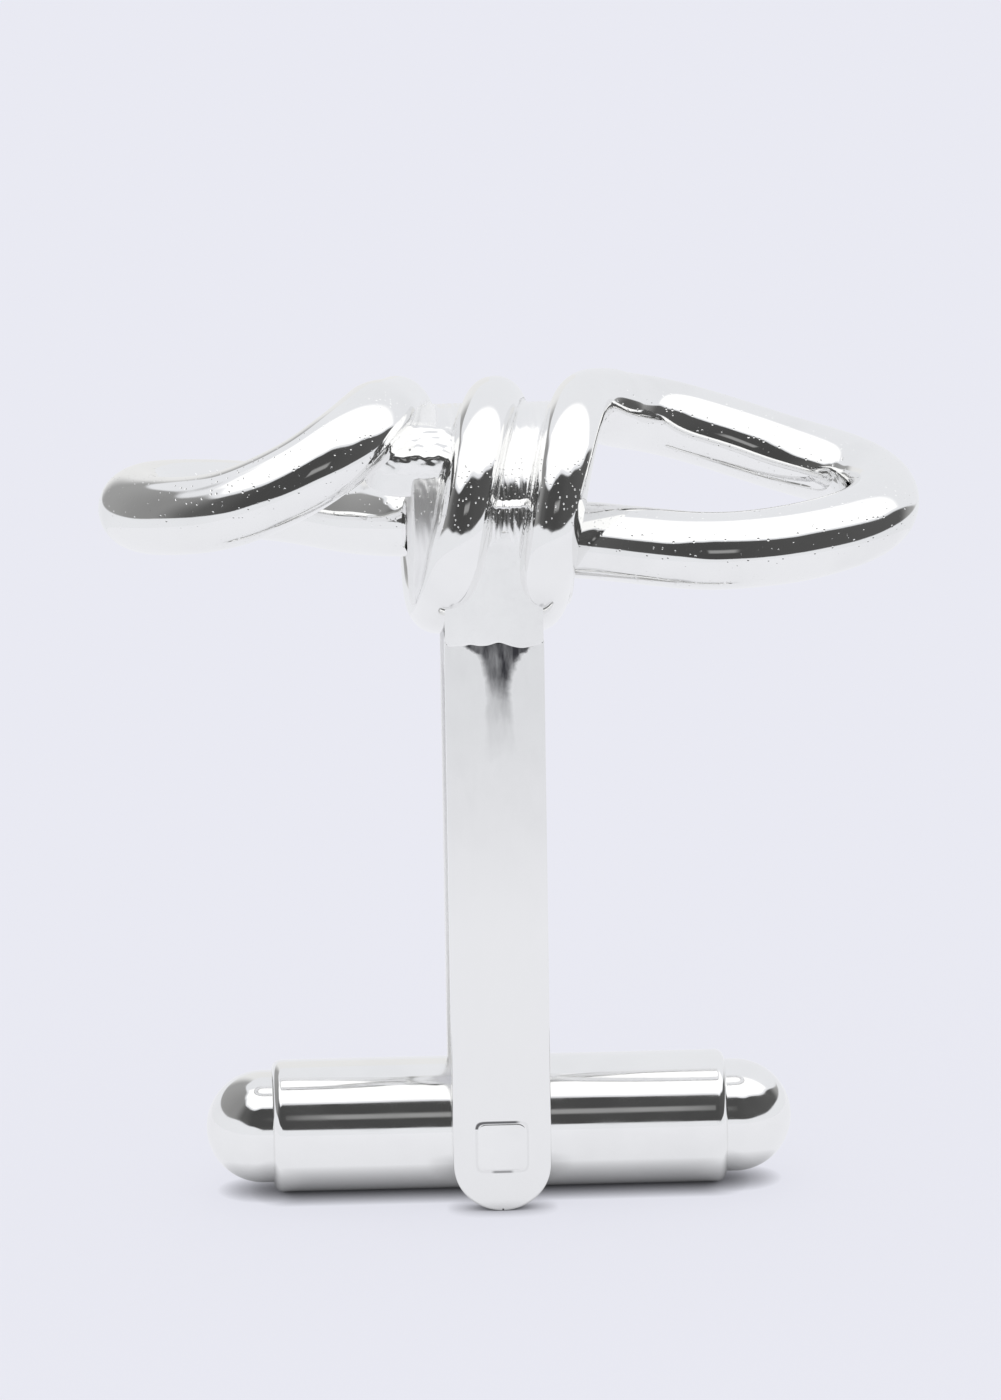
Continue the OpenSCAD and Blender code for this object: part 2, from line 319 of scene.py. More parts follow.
fillet = creep - np.sqrt(creep**2 - near_wrap**2)
turning_marks = 0.022 * waves(flat * [1, 0.06, 0.06], 0.33, seed=9)
turning_marks = turning_marks + 0.011 * waves(flat * [1, 0.12, 0.12], 0.12, seed=10)
seam_wander = 0.014 * waves(flat * [1, 0, 0], 0.6, seed=16)
seam_wander = seam_wander + 0.010 * waves(flat * [1, 0, 0], 0.13, seed=17)
to_seam = core_radius * (angle - seam_angle - seam_wander)
ledge = np.clip((0.12 - to_seam) / 0.2, 0, 1) * np.clip((to_seam + 0.13) / 0.05, 0, 1)
seam = (0.085 + 0.05 * waves(flat * [1, 0, 0], 0.14, seed=18)) * ledge * (x > -0.75)
to_strand = np.linalg.norm(flat - np.array([-2.2, -2.1, 2.3]), axis=2)
rough = np.exp(-((to_strand / 1.1) ** 2))
lumps = rough * (0.10 + 0.06 * waves(flat, 0.6, seed=11) + 0.03 * waves(flat, 0.22, seed=12))
height = core_radius + fillet + turning_marks + seam + lumps
drum_side = np.stack(
    np.broadcast_arrays(x, height * np.sin(angle), height * np.cos(angle)), axis=-1
)


# %% The drum's end faces
def drum_end(edge, way):
    """Rings from the edge to the middle: a quarter-round corner, then a shallow dome."""
    t = np.linspace(0, 1, end_face + 1)[1:-1, None]
    radius_share = np.cos(t * math.pi / 2) ** 0.35
    ring = edge[None] * np.array([0, 1, 1]) * radius_share[..., None]
    ring[..., 0] = edge[None, :, 0] + way * dome_height * np.sin(t * math.pi / 2)
    return ring


drum_grid = np.concatenate(
    [drum_end(drum_side[0], -1)[::-1], drum_side, drum_end(drum_side[-1], 1)]
)[::-1]
drum = skin("drum", drum_grid + knot_middle, grid_normals(drum_grid))

# %% [markdown]
# ## The solder
# Solder fills the space under the drum, between the two wraps and the top of the post. It has
# run down flush with the post's face and stops there in a wavy edge. A second, rougher lump
# fills the crook where the left loop's high strand meets the drum.

# %% The solder in the cradle
cradle_half, cradle_round = 1.53, 0.3
face_y = post_high[1] + 0.03
steps = np.concatenate([[0, 0.02, 0.06], np.linspace(0.12, 0.88, 40), [0.94, 0.98, 1]])
x = cradle_half * (2 * steps - 1)[:, None]
pad_top, pad_low = -0.15, -3.80
edge_z = (
    pad_low
    + 0.10 * np.exp(-(((x - 0.13) / 0.26) ** 2))
    - 0.09 * np.exp(-(((x - 0.85) / 0.34) ** 2))
    + 0.05 * np.exp(-(((x + 0.75) / 0.18) ** 2))
    + 0.008 * waves(x[..., None] * [1, 0, 0], 0.35, seed=19)
)
down = np.linspace(0, 1, 60)[None, :]
front_z = pad_top + (edge_z - pad_top) * down
on_drum = np.sqrt(np.clip(core_radius**2 - front_z**2, 0, None)) - 0.03
on_face = face_y + 0.12 * np.clip((front_z - pad_low) / 3.4, 0, 1)
melt = 0.03
front_y = -melt * np.log(np.exp(on_drum / melt) + np.exp(on_face / melt))
lip = np.linspace(0, math.pi / 2, 7)[None, 1:]
lip_z = edge_z - 0.05 * np.sin(lip)
lip_y = front_y[:, -1:] + 0.05 * (1 - np.cos(lip))
half_y = np.concatenate([front_y, lip_y, 0 * x - face_y + 0.3], axis=1)
half_z = np.concatenate([front_z, lip_z, edge_z + 0.02], axis=1)
pad_y = np.concatenate([half_y, -half_y[:, ::-1]], axis=1)
pad_z = np.concatenate([half_z, half_z[:, ::-1]], axis=1)
past = np.clip((np.abs(x) - cradle_half + cradle_round) / cradle_round, 0, 1)
pad_y *= 1 - 0.05 * past**2 / face_y
pad_grid = np.stack(np.broadcast_arrays(x, pad_y, pad_z), axis=-1)
pad = skin("solder_pad", (pad_grid + knot_middle)[:, ::-1], grid_normals(pad_grid[:, ::-1]))


# %% The solder in the crook
def softly_least(angle, faces, sharpness=20):
    """Distance to the nearest of some faces along each angle, with the corners rounded.

    Each face is (the angle that it looks towards, its distance from the middle).
    """
    pull = sum(
        np.clip(np.cos(angle - math.radians(look)) / far, 0, None) ** sharpness
        for look, far in faces
    )
    return pull ** (-1 / sharpness)


crook_middle, crook_half = np.array([-2.4, -2.0, 1.66]), 1.55
t = np.linspace(-0.995, 0.995, 220)[:, None]
v = np.linspace(0, 2 * math.pi, 300, endpoint=False)[None, :]
section_r = softly_least(v, [(-5, 0.86), (52, 1.0), (110, 1.3), (180, 1.2), (260, 0.62)])
narrowing = (1 - np.abs(t) ** 3) ** (1 / 3)
facing_lamp = np.exp(-(((np.degrees(v) - 60) / 38) ** 2))
lump_r = section_r * narrowing
lump = np.stack(
    np.broadcast_arrays(crook_half * t, -lump_r * np.cos(v), lump_r * np.sin(v)), axis=-1
)
coarse = 0.07 * waves(lump, 0.55, seed=26, crossing=12)
fine = 0.04 * waves(lump, 0.23, seed=27, crossing=12)
uneven = facing_lamp * (coarse + fine) + 0.01 * waves(lump, 1.2, seed=28)
lump = lump * (1 + uneven[..., None] * [0.3, 1, 1]) + crook_middle
crook = skin("crook_solder", (lump + knot_middle)[:, ::-1], grid_normals(lump[:, ::-1]))

# %% [markdown]
# ## The post
# The post is a flat strip bent into a narrow arch, with round ends. Seen from the side it lies
# between an outer and an inner line, and each of the two knows its own way out. The skin rounds
# the edges from one way to the next, so the broad faces stay truly flat and mirror calmly.

# %% The two lines of the strip
leg_half = (post_high[0] - post_low[0]) / 2
outer_y = post_high[1]
leg_clearance, bridge_thickness, shoulder_drop = 0.1, 0.9, 3.66
inner_y = barrel_r + leg_clearance
outer_top = knot_z - shoulder_drop
inner_top = knot_z - wrap_radius - wrap_wire_r - bridge_thickness
outer_corner, inner_corner = 0.12, 0.6
corner_foot = inner_top - inner_corner


def corner_line(half_y, top, corner, steps):
    """From the height where the inner corner starts, up, round a quarter circle and inwards."""
    end_y = inner_y - inner_corner
    up = np.linspace(corner_foot, top - corner, steps)[:-1]
    turn = np.linspace(0, math.pi / 2, steps)
    over = np.linspace(half_y - corner, end_y, steps)[1:]
    turn_y = -half_y + corner * (1 - np.cos(turn))
    turn_z = top - corner * (1 - np.sin(turn))
    line = np.vstack([
        np.stack([np.full(steps - 1, -half_y), up], axis=1),
        np.stack([turn_y, turn_z], axis=1),
        np.stack([-over, np.full(steps - 1, top)], axis=1),
    ])
    facing = np.vstack([
        np.tile([-1.0, 0.0], (steps - 1, 1)),
        np.stack([-np.cos(turn), np.sin(turn)], axis=1),
        np.tile([0.0, 1.0], (steps - 1, 1)),
    ])
    return line, facing


foot_turn = np.linspace(0.02, math.pi / 2, 26)
leg_rise = np.linspace(leg_half, corner_foot, 14)[1:-1]
leg_z = np.concatenate([np.zeros(len(foot_turn)), leg_rise])
outer_corner_line, outer_facing = corner_line(outer_y, outer_top, outer_corner, 10)
inner_corner_line, inner_facing = corner_line(inner_y, inner_top, inner_corner, 10)
bridge = np.linspace(-(inner_y - inner_corner), 0, 6)[1:]

# %% The strip's skin
edge_r = 0.08
side_way = np.stack([np.sin(foot_turn), -np.cos(foot_turn)], axis=1)
level_way = np.tile([1.0, 0.0], (len(leg_rise) + len(outer_corner_line) + len(bridge), 1))
half_side = np.vstack([side_way, level_way])
half_wide = half_side[:, 0] * (leg_half - edge_r)
foot_lift = leg_half - (leg_half - edge_r) * np.cos(foot_turn)


def half_strip(half_y, corner_line_points, facing, top):
    """One face's edge centres (y, z) and its outward way, from the foot to the middle."""
    centres = np.vstack([
        np.stack([np.full(len(foot_turn), -half_y), foot_lift], axis=1),
        np.stack([np.full(len(leg_rise), -half_y), leg_rise], axis=1),
        corner_line_points,
        np.stack([bridge, np.full(len(bridge), top)], axis=1),
    ])
    ways_out = np.vstack([
        np.tile([-1.0, 0.0], (len(foot_turn) + len(leg_rise), 1)),
        facing,
        np.tile([0.0, 1.0], (len(bridge), 1)),
    ])
    return centres, ways_out


def mirrored(half, flip):
    """The half line, then its mirror image back down the other leg."""
    return np.vstack([half, half[-2::-1] * flip])


outer_line, outer_way = half_strip(outer_y, outer_corner_line, outer_facing, outer_top)
inner_line, inner_way = half_strip(inner_y, inner_corner_line, inner_facing, inner_top)
outer_line, outer_way = mirrored(outer_line, [-1, 1]), mirrored(outer_way, [-1, 1])
inner_line, inner_way = mirrored(inner_line, [-1, 1]), -mirrored(inner_way, [-1, 1])
side_way = mirrored(half_side, [1, 1])
half_wide = mirrored(half_wide[:, None], [1])
corner_points = 7
quarter = np.linspace(0, math.pi / 2, corner_points)
section = np.concatenate([quarter + k * math.pi / 2 for k in range(4)])
cos_v, sin_v = np.cos(section)[None, :], np.sin(section)[None, :]
quadrant = np.repeat(np.arange(4), corner_points)
sign_x = np.array([1, -1, -1, 1])[quadrant][None, :]
sign_t = np.array([1, 1, -1, -1])[quadrant][None, :]
on_outer = (sign_t > 0)[..., None]
line = np.where(on_outer, outer_line[:, None], inner_line[:, None])
way_out = np.where(on_outer, outer_way[:, None], inner_way[:, None])
reach_x, reach_t = np.abs(cos_v), np.abs(sin_v)
post_normals = np.stack(
    [
        sign_x * reach_x * side_way[:, 0:1],
        reach_t * way_out[..., 0],
        reach_x * side_way[:, 1:2] + reach_t * way_out[..., 1],
    ],
    axis=-1,
)
edge_centre = np.stack(
    [
        sign_x * half_wide,
        line[..., 0] - edge_r * way_out[..., 0],
        line[..., 1] - edge_r * way_out[..., 1],
    ],
    axis=-1,
)
post_grid = edge_centre + edge_r * post_normals
post_normals /= np.linalg.norm(post_normals, axis=2, keepdims=True)
post = skin("post", post_grid[:, ::-1], post_normals[:, ::-1])

# %% [markdown]
# ## The pin
# The square pin is filed flush with both legs. Its edges are slightly rounded, and the shallow
# line round it is the only thing that shows.

# %% The pin's skin
pin_half = (pin_high[2] - pin_low[2]) / 2
pin_edge = 0.07
proud = 0.012
pin_length = outer_y + proud
t = np.linspace(0, math.pi / 2, 9)
rim_in = np.concatenate([[pin_half - 0.001], pin_edge - pin_edge * np.sin(t)])
rim_back = np.concatenate([[0.0], pin_edge - pin_edge * np.cos(t)])
ys = np.concatenate([-pin_length + rim_back, (pin_length - rim_back)[::-1]])
halves = pin_half - np.concatenate([rim_in, rim_in[::-1]])
pin_corner = np.minimum(0.24, halves * 0.9)[:, None]
pin_wide = sign_x * (halves[:, None] - pin_corner) + pin_corner * cos_v
pin_deep = sign_t * (halves[:, None] - pin_corner) + pin_corner * sin_v
pin_long = np.broadcast_to(ys[:, None], pin_wide.shape)
pin_grid = np.stack([pin_wide, pin_long, pin_deep + pivot_z], axis=-1)
pin = skin("square_pin", pin_grid, grid_normals(pin_grid))


# %% [markdown]
# ## The toggle
# The barrel is a drawn tube with rolled ends, and each tip is a turned plug with a round nose.
# Both are profiles turned about the toggle's axis, with a very slight unevenness.


# %% Turn a profile about the toggle's axis
def turned_piece(name, profile, uneven, seed):
    """Each point (x, radius) of the profile becomes a ring about the toggle's axis."""
    v = np.linspace(0, 2 * math.pi, 160, endpoint=False)[None, :]
    x, r = profile[:, 0:1], profile[:, 1:2]
    ring = np.stack(np.broadcast_arrays(x, r * np.sin(v), r * np.cos(v)), axis=-1)
    way = np.stack(np.broadcast_arrays(0 * v, np.sin(v), np.cos(v)), axis=-1)
    grown = np.minimum(r, 1)
    ring = ring + (uneven * grown * waves(ring, 3.2, seed))[..., None] * way
    ring = ring[::-1]
    return skin(name, ring + np.array([0, 0, pivot_z]), grid_normals(ring))


# %% The barrel
barrel_half = barrel_high[0]
end_round = 0.3
turn = np.linspace(0, math.pi / 2, 9)
roll_x = barrel_half - end_round * (1 - np.sin(turn))
roll_r = barrel_r - end_round * (1 - np.cos(turn))
roll = np.stack([roll_x, roll_r], axis=1)
body_x = np.linspace(-barrel_half + end_round, barrel_half - end_round, 120)
body = np.stack([body_x, np.full(len(body_x), barrel_r)], axis=1)
lip_x = barrel_half - 0.2
lip = np.array([[barrel_half, tip_r + 0.03], [lip_x, tip_r + 0.01], [lip_x, 0.02]])
right_end = np.vstack([roll[1:], lip])
left_end = (right_end * [-1, 1])[::-1]
barrel = turned_piece("barrel", np.vstack([left_end, body, right_end]), 0.004, seed=21)

# %% The tips
nose_x = tip_high[0] - tip_r
nose = np.linspace(0, math.pi / 2, 60)[:-1]
plug_start, plug_r = barrel_half - 1.4, tip_r - 0.012
plug = np.stack([np.linspace(plug_start, nose_x, 12), np.full(12, plug_r)], axis=1)
dome = np.stack([nose_x + tip_r * np.sin(nose), plug_r * np.cos(nose)], axis=1)
tip_profile = np.vstack([[[plug_start, 0.02]], plug, dome[1:]])
tip_right = turned_piece("tip_right", tip_profile, 0.004, seed=22)
tip_left = turned_piece("tip_left", (tip_profile * [-1, 1])[::-1], 0.004, seed=23)

# %% What each piece stands for, and the body that it rides on
for piece, node, body_name, slot_name in [
    (wire["left_loop_wire"], "left_loop", "head", "silver"),
    (wire["wrap_wire"], "wrap_coil", "head", "silver"),
    (wire["right_loop_wire"], "right_loop", "head", "silver"),
    (drum, "knot_core", "head", "core_silver"),
    (pad, "seat_solder", "head", "solder"),
    (crook, None, "head", "solder"),
    (post, "post_frame", "head", "silver"),
    (pin, "hinge_pin", "head", "pin_steel"),
    (barrel, "toggle_barrel", "toggle", "silver"),
    (tip_right, "toggle_tip_right", "toggle", "silver"),
    (tip_left, "toggle_tip_left", "toggle", "silver"),
]:
    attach(piece, body_name)
    if node:
        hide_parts(node)

# %% [markdown]
# ## Finishes
# Hand-polished silver is a mirror with small faults: long gentle waves from the polishing
# wheel, fine pits that the wheel didn't reach, and hair-thin marks along the way it turned.
# Each fault is a node group with named inputs, so that every metal part can have its own share.
# The polish itself, how clear the mirror is, changes a little with the marks.


# %% Helpers for node trees
def feed(tree, socket, value):
    """Link a node's output to a socket, or set the socket to a plain value."""
    if isinstance(value, bpy.types.NodeSocket):
        tree.links.new(value, socket)
    else:
        socket.default_value = value


def add(tree, kind, settings=None, **sockets):
    """A new node with its settings, and a value or another node's output for each input."""
    node = tree.nodes.new(kind)
    for key, value in (settings or {}).items():
        setattr(node, key, value)
    for key, value in sockets.items():
        feed(tree, node.inputs[key.replace("_", " ")], value)
    return node


def new_group(name, inputs, outputs):
    """An empty shader group with its sockets, and its two end nodes."""
    group = bpy.data.node_groups.new(name, "ShaderNodeTree")
    for socket_name, kind, value in inputs:
        socket = group.interface.new_socket(socket_name, in_out="INPUT", socket_type=kind)
        if value is not None:
            socket.default_value = value
    for socket_name, kind in outputs:
        group.interface.new_socket(socket_name, in_out="OUTPUT", socket_type=kind)
    return group, group.nodes.new("NodeGroupInput"), group.nodes.new("NodeGroupOutput")


# %% Helpers for sums and colours in a shader
def reckon(tree, operation, *values, clamp=False):
    """The result of one Math node; each value is a number or another node's output."""
    node = tree.nodes.new("ShaderNodeMath")
    node.operation = operation
    node.use_clamp = clamp
    for socket, value in zip(node.inputs, values):
        feed(tree, socket, value)
    return node.outputs["Value"]


def product(tree, *values):
    """All the values multiplied together."""
    result = values[0]
    for value in values[1:]:
        result = reckon(tree, "MULTIPLY", result, value)
    return result


def one_less(tree, value):
    """What is left of 1 when the value is taken away."""
    return reckon(tree, "SUBTRACT", 1, value)


def step_up(tree, value, start, end):
    """A smooth step: 0 where the value is below the start, 1 where it is above the end."""
    step = add(tree, "ShaderNodeMapRange", {"interpolation_type": "SMOOTHSTEP"}, Value=value)
    feed(tree, step.inputs["From Min"], start)
    feed(tree, step.inputs["From Max"], end)
    return step.outputs["Result"]


def mixed(tree, share, first, second):
    """The first colour where the share is 0, the second where it is 1."""
    node = add(tree, "ShaderNodeMix", {"data_type": "RGBA"}, Factor=share)
    feed(tree, node.inputs[6], first)
    feed(tree, node.inputs[7], second)
    return node.outputs[2]


def ramp_of(tree, share, stops, interpolation="LINEAR"):
    """A number that changes along a share from 0 to 1, through (share, number) stops."""
    node = add(tree, "ShaderNodeValToRGB", Fac=share)
    node.color_ramp.interpolation = interpolation
    stones = node.color_ramp.elements
    while len(stones) > 1:
        stones.remove(stones[-1])
    for i, (position, number) in enumerate(stops):
        stone = stones[0] if i == 0 else stones.new(position)
        stone.position = position
        stone.color = (number, number, number, 1)
    return node.outputs["Color"]


def by_turn(tree, azimuth_share, stops):
    """A number that changes with the azimuth, through (degrees, number) stops."""
    shares = [((degrees + 180) / 360, number) for degrees, number in stops]
    return ramp_of(tree, azimuth_share, shares, "EASE")


# %% Group: waves and pits left by polishing
polish, polish_in, polish_out = new_group(
    "polishing faults",
    [
        ("Wave Scale", "NodeSocketFloat", 400.0),
        ("Wave Depth", "NodeSocketFloat", 0.00001),
        ("Pit Scale", "NodeSocketFloat", 9000.0),
        ("Pit Depth", "NodeSocketFloat", 0.0),
        ("Pits From", "NodeSocketFloat", -1.0),
        ("Pits To", "NodeSocketFloat", 1.0),
    ],
    [("Normal", "NodeSocketVector")],
)
place = add(polish, "ShaderNodeTexCoord").outputs["Object"]
wave = add(
    polish, "ShaderNodeTexNoise", Vector=place, Scale=polish_in.outputs["Wave Scale"], Detail=2.0
)
wave_bump = add(
    polish, "ShaderNodeBump",
    Height=wave.outputs["Fac"], Distance=polish_in.outputs["Wave Depth"],
)
pit = add(polish, "ShaderNodeTexVoronoi", Vector=place, Scale=polish_in.outputs["Pit Scale"])
some = add(polish, "ShaderNodeSeparateXYZ", Vector=pit.outputs["Color"]).outputs["X"]
near_pit = one_less(polish, step_up(polish, pit.outputs["Distance"], 0.08, 0.28))
pit_mask = reckon(polish, "MULTIPLY", near_pit, reckon(polish, "GREATER_THAN", some, 0.5))
place_z = add(polish, "ShaderNodeSeparateXYZ", Vector=place).outputs["Z"]
low_side = reckon(polish, "GREATER_THAN", place_z, polish_in.outputs["Pits From"])
high_side = reckon(polish, "LESS_THAN", place_z, polish_in.outputs["Pits To"])
pit_height = product(polish, pit_mask, low_side, high_side)
pit_bump = add(
    polish, "ShaderNodeBump", {"invert": True},
    Height=pit_height, Distance=polish_in.outputs["Pit Depth"], Normal=wave_bump.outputs["Normal"],
)
polish.links.new(pit_bump.outputs["Normal"], polish_out.inputs["Normal"])

# %% Group: fine marks that run one way
marks, marks_in, marks_out = new_group(
    "fine marks",
    [
        ("Squeeze", "NodeSocketVector", (1.0, 1.0, 1.0)),
        ("Scale", "NodeSocketFloat", 1000.0),
        ("Depth", "NodeSocketFloat", 0.000001),
        ("Normal", "NodeSocketVector", None),
    ],
    [("Normal", "NodeSocketVector"), ("Marks", "NodeSocketFloat")],
)
place = add(marks, "ShaderNodeTexCoord").outputs["Object"]
squeezed = add(marks, "ShaderNodeVectorMath", {"operation": "MULTIPLY"})
marks.links.new(place, squeezed.inputs[0])
marks.links.new(marks_in.outputs["Squeeze"], squeezed.inputs[1])
line = add(
    marks, "ShaderNodeTexNoise",
    Vector=squeezed.outputs["Vector"], Scale=marks_in.outputs["Scale"], Detail=4.0,
)
line_bump = add(
    marks, "ShaderNodeBump", Height=line.outputs["Fac"], Distance=marks_in.outputs["Depth"],
    Normal=marks_in.outputs["Normal"],
)
marks.links.new(line_bump.outputs["Normal"], marks_out.inputs["Normal"])
marks.links.new(line.outputs["Fac"], marks_out.inputs["Marks"])

# %% Group: a breath of tarnish, in soft clouds
clouds, _, clouds_out = new_group("tarnish clouds", [], [("Stain", "NodeSocketFloat")])
place = add(clouds, "ShaderNodeTexCoord").outputs["Object"]
cloud = add(clouds, "ShaderNodeTexNoise", Vector=place, Scale=260.0, Detail=3.0, Roughness=0.6)
faint = reckon(clouds, "MULTIPLY", step_up(clouds, cloud.outputs["Fac"], 0.42, 0.75), 0.05)
clouds.links.new(faint, clouds_out.inputs["Stain"])

# %% [markdown]
# ## The post's painted dark reflection and the line round the pin
# A dark reflection is painted on the post just under the knot. It is widest at the edge of the
# solder and runs down like a funnel. The seam round the square pin is a painted hair of shadow:
# strong along its top, short along its bottom and faint at its sides.

# %% Group: marks on the post, the painted dark reflection under the knot
post_marks, _, post_marks_out = new_group("post shade marks", [], [("Stain", "NodeSocketFloat")])
place = add(post_marks, "ShaderNodeTexCoord").outputs["Object"]
drift_noise = add(
    post_marks, "ShaderNodeTexNoise", Vector=place, Scale=900.0, Detail=4.0, Roughness=0.65
).outputs["Fac"]
parts = add(post_marks, "ShaderNodeSeparateXYZ", Vector=place)
x_mm = reckon(post_marks, "DIVIDE", parts.outputs["X"], mm)
z_mm = reckon(post_marks, "DIVIDE", parts.outputs["Z"], mm)
wander = reckon(post_marks, "MULTIPLY_ADD", drift_noise, 0.9, -0.45)
depth = reckon(post_marks, "SUBTRACT", knot_z - 3.7, z_mm)
stain_length = 6
depth_share = reckon(
    post_marks, "DIVIDE", reckon(post_marks, "ADD", depth, wander), stain_length, clamp=True
)
half_width = ramp_of(post_marks, depth_share, [
    (0, 1.2), (0.025, 1.05), (0.06, 0.68), (0.11, 0.52),
    (0.2, 0.42), (0.3, 0.36), (0.45, 0.5), (0.8, 0.9),
])
darkness = ramp_of(post_marks, depth_share, [
    (0, 0.95), (0.12, 0.9), (0.2, 0.86), (0.27, 0.62),
    (0.33, 0.38), (0.45, 0.2), (0.7, 0.05), (0.9, 0),
])
stain_middle = 0.13
from_middle = reckon(post_marks, "SUBTRACT", x_mm, stain_middle)
half_wander = reckon(post_marks, "MULTIPLY", wander, 0.5)
off_centre = reckon(post_marks, "ABSOLUTE", reckon(post_marks, "ADD", from_middle, half_wander))
edge_start = reckon(post_marks, "SUBTRACT", half_width, 0.2)
edge_end = reckon(post_marks, "ADD", half_width, 0.14)
inside = one_less(post_marks, step_up(post_marks, off_centre, edge_start, edge_end))
below_knot = step_up(post_marks, depth, -0.4, -0.3)
stretched = add(post_marks, "ShaderNodeVectorMath", {"operation": "MULTIPLY"})
post_marks.links.new(place, stretched.inputs[0])
stretched.inputs[1].default_value = (1, 1, 0.22)
streaks = add(
    post_marks, "ShaderNodeTexNoise",
    Vector=stretched.outputs["Vector"], Scale=3200.0, Detail=3.0, Roughness=0.6,
)
streaked = reckon(post_marks, "MULTIPLY_ADD", streaks.outputs["Fac"], 1.0, 0.5)
# Painted dark reflection: the post's face is darkened in a streaked funnel under the knot.
heat_stain = reckon(
    post_marks, "MULTIPLY", product(post_marks, inside, darkness, below_knot), streaked, clamp=True
)

# %% Group: the post's painted shadow round the pin, and a faint darkening near the top
up_z = reckon(post_marks, "SUBTRACT", z_mm, pivot_z)
squareness = 8
x_power = reckon(post_marks, "POWER", reckon(post_marks, "ABSOLUTE", x_mm), squareness)
z_power = reckon(post_marks, "POWER", reckon(post_marks, "ABSOLUTE", up_z), squareness)
both_powers = reckon(post_marks, "ADD", x_power, z_power)
square_reach = reckon(post_marks, "POWER", both_powers, 1 / squareness)
in_seam = reckon(
    post_marks, "SUBTRACT",
    step_up(post_marks, square_reach, pin_half - 0.03, pin_half + 0.01),
    step_up(post_marks, square_reach, pin_half + 0.05, pin_half + 0.09),
)
on_top = reckon(post_marks, "GREATER_THAN", up_z, 0.6)
on_bottom = reckon(post_marks, "LESS_THAN", up_z, -0.6)
along_top = product(post_marks, on_top, one_less(post_marks, step_up(post_marks, x_mm, 0.4, 0.62)))
short = step_up(post_marks, reckon(post_marks, "ABSOLUTE", x_mm), 0.22, 0.4)
along_bottom = product(post_marks, on_bottom, one_less(post_marks, short))
top_and_sides = reckon(post_marks, "MULTIPLY_ADD", along_top, 0.8, 0.08)
seam_depth = reckon(post_marks, "ADD", top_and_sides, product(post_marks, along_bottom, 0.55))
# Painted shadow in the seam round the pin: strongest along its top, short at its bottom.
pin_seam = product(post_marks, in_seam, seam_depth)
fading = reckon(post_marks, "MULTIPLY_ADD", step_up(post_marks, depth, 4, 10), -0.08, 0.1)
veil = product(post_marks, fading, reckon(post_marks, "MULTIPLY_ADD", drift_noise, 0.7, 0.65))
stain_or_seam = reckon(post_marks, "MAXIMUM", heat_stain, pin_seam)
darkest = reckon(post_marks, "MAXIMUM", stain_or_seam, veil)
post_marks.links.new(darkest, post_marks_out.inputs["Stain"])


# %% One finish for each kind of surface
def use_group(tree, group, **values):
    """A group node in this tree, with its inputs set by name."""
    node = tree.nodes.new("ShaderNodeGroup")
    node.node_tree = group
    for key, value in values.items():
        node.inputs[key.replace("_", " ")].default_value = value
    return node


bright = (0.93, 0.93, 0.925)
# Dark tone for the tarnish clouds, and for the painted shade on the post.
tarnished = (0.045, 0.045, 0.05, 1)


def silver_finish(
    name, clear, cloudy, wave, pit, mark, squeeze,
    tone=bright, stain=clouds, pit_band=(-1, 1), unpolished=None,
):
    """Silver with its share of faults.

    The roughness runs from clear to cloudy with the marks. Each of wave, pit and mark is a size
    and a depth in millimetres; squeeze stretches the marks along the ways where it is small.
    Where the wheel never reached, unpolished is (axis, from, to, roughness, whiteness): there the
    metal, between two places in millimetres, is matt and white from the pickle.
    """
    material = bpy.data.materials.new(name)
    material.use_nodes = True
    tree = material.node_tree
    tree.nodes.clear()
    faults = use_group(
        tree, polish, Wave_Scale=1 / (wave[0] * mm), Wave_Depth=wave[1] * mm,
        Pit_Scale=1 / (pit[0] * mm), Pit_Depth=pit[1] * mm,
        Pits_From=pit_band[0], Pits_To=pit_band[1],
    )
    lines = use_group(tree, marks, Squeeze=squeeze, Scale=1 / (mark[0] * mm), Depth=mark[1] * mm)
    tree.links.new(faults.outputs["Normal"], lines.inputs["Normal"])
    # The colour darkens towards that tone: real tarnish on most parts, painted shade on the post.
    colour = mixed(tree, use_group(tree, stain).outputs["Stain"], (*tone, 1), tarnished)
    mirror = add(
        tree, "ShaderNodeMapRange", Value=lines.outputs["Marks"],
        From_Min=0.35, From_Max=0.72, To_Min=clear, To_Max=cloudy,
    )
    roughness, metallic = mirror.outputs["Result"], 1.0
    if unpolished:
        axis, low, high, matt, whiteness = unpolished
        place = add(tree, "ShaderNodeTexCoord").outputs["Object"]
        along = add(tree, "ShaderNodeSeparateXYZ", Vector=place).outputs[axis]
        soft_edge = 0.08
        over_low = step_up(tree, along, low * mm, (low + soft_edge) * mm)
        past_high = step_up(tree, along, (high - soft_edge) * mm, high * mm)
        there = product(tree, over_low, one_less(tree, past_high))
        roughness = reckon(tree, "MAXIMUM", roughness, product(tree, there, matt))
        metallic = reckon(tree, "MULTIPLY_ADD", there, -whiteness, 1)
    metal = add(
        tree, "ShaderNodeBsdfPrincipled", Base_Color=colour, Metallic=metallic,
        Roughness=roughness, Normal=lines.outputs["Normal"],
    )
    add(tree, "ShaderNodeOutputMaterial", Surface=metal.outputs["BSDF"])
    return material


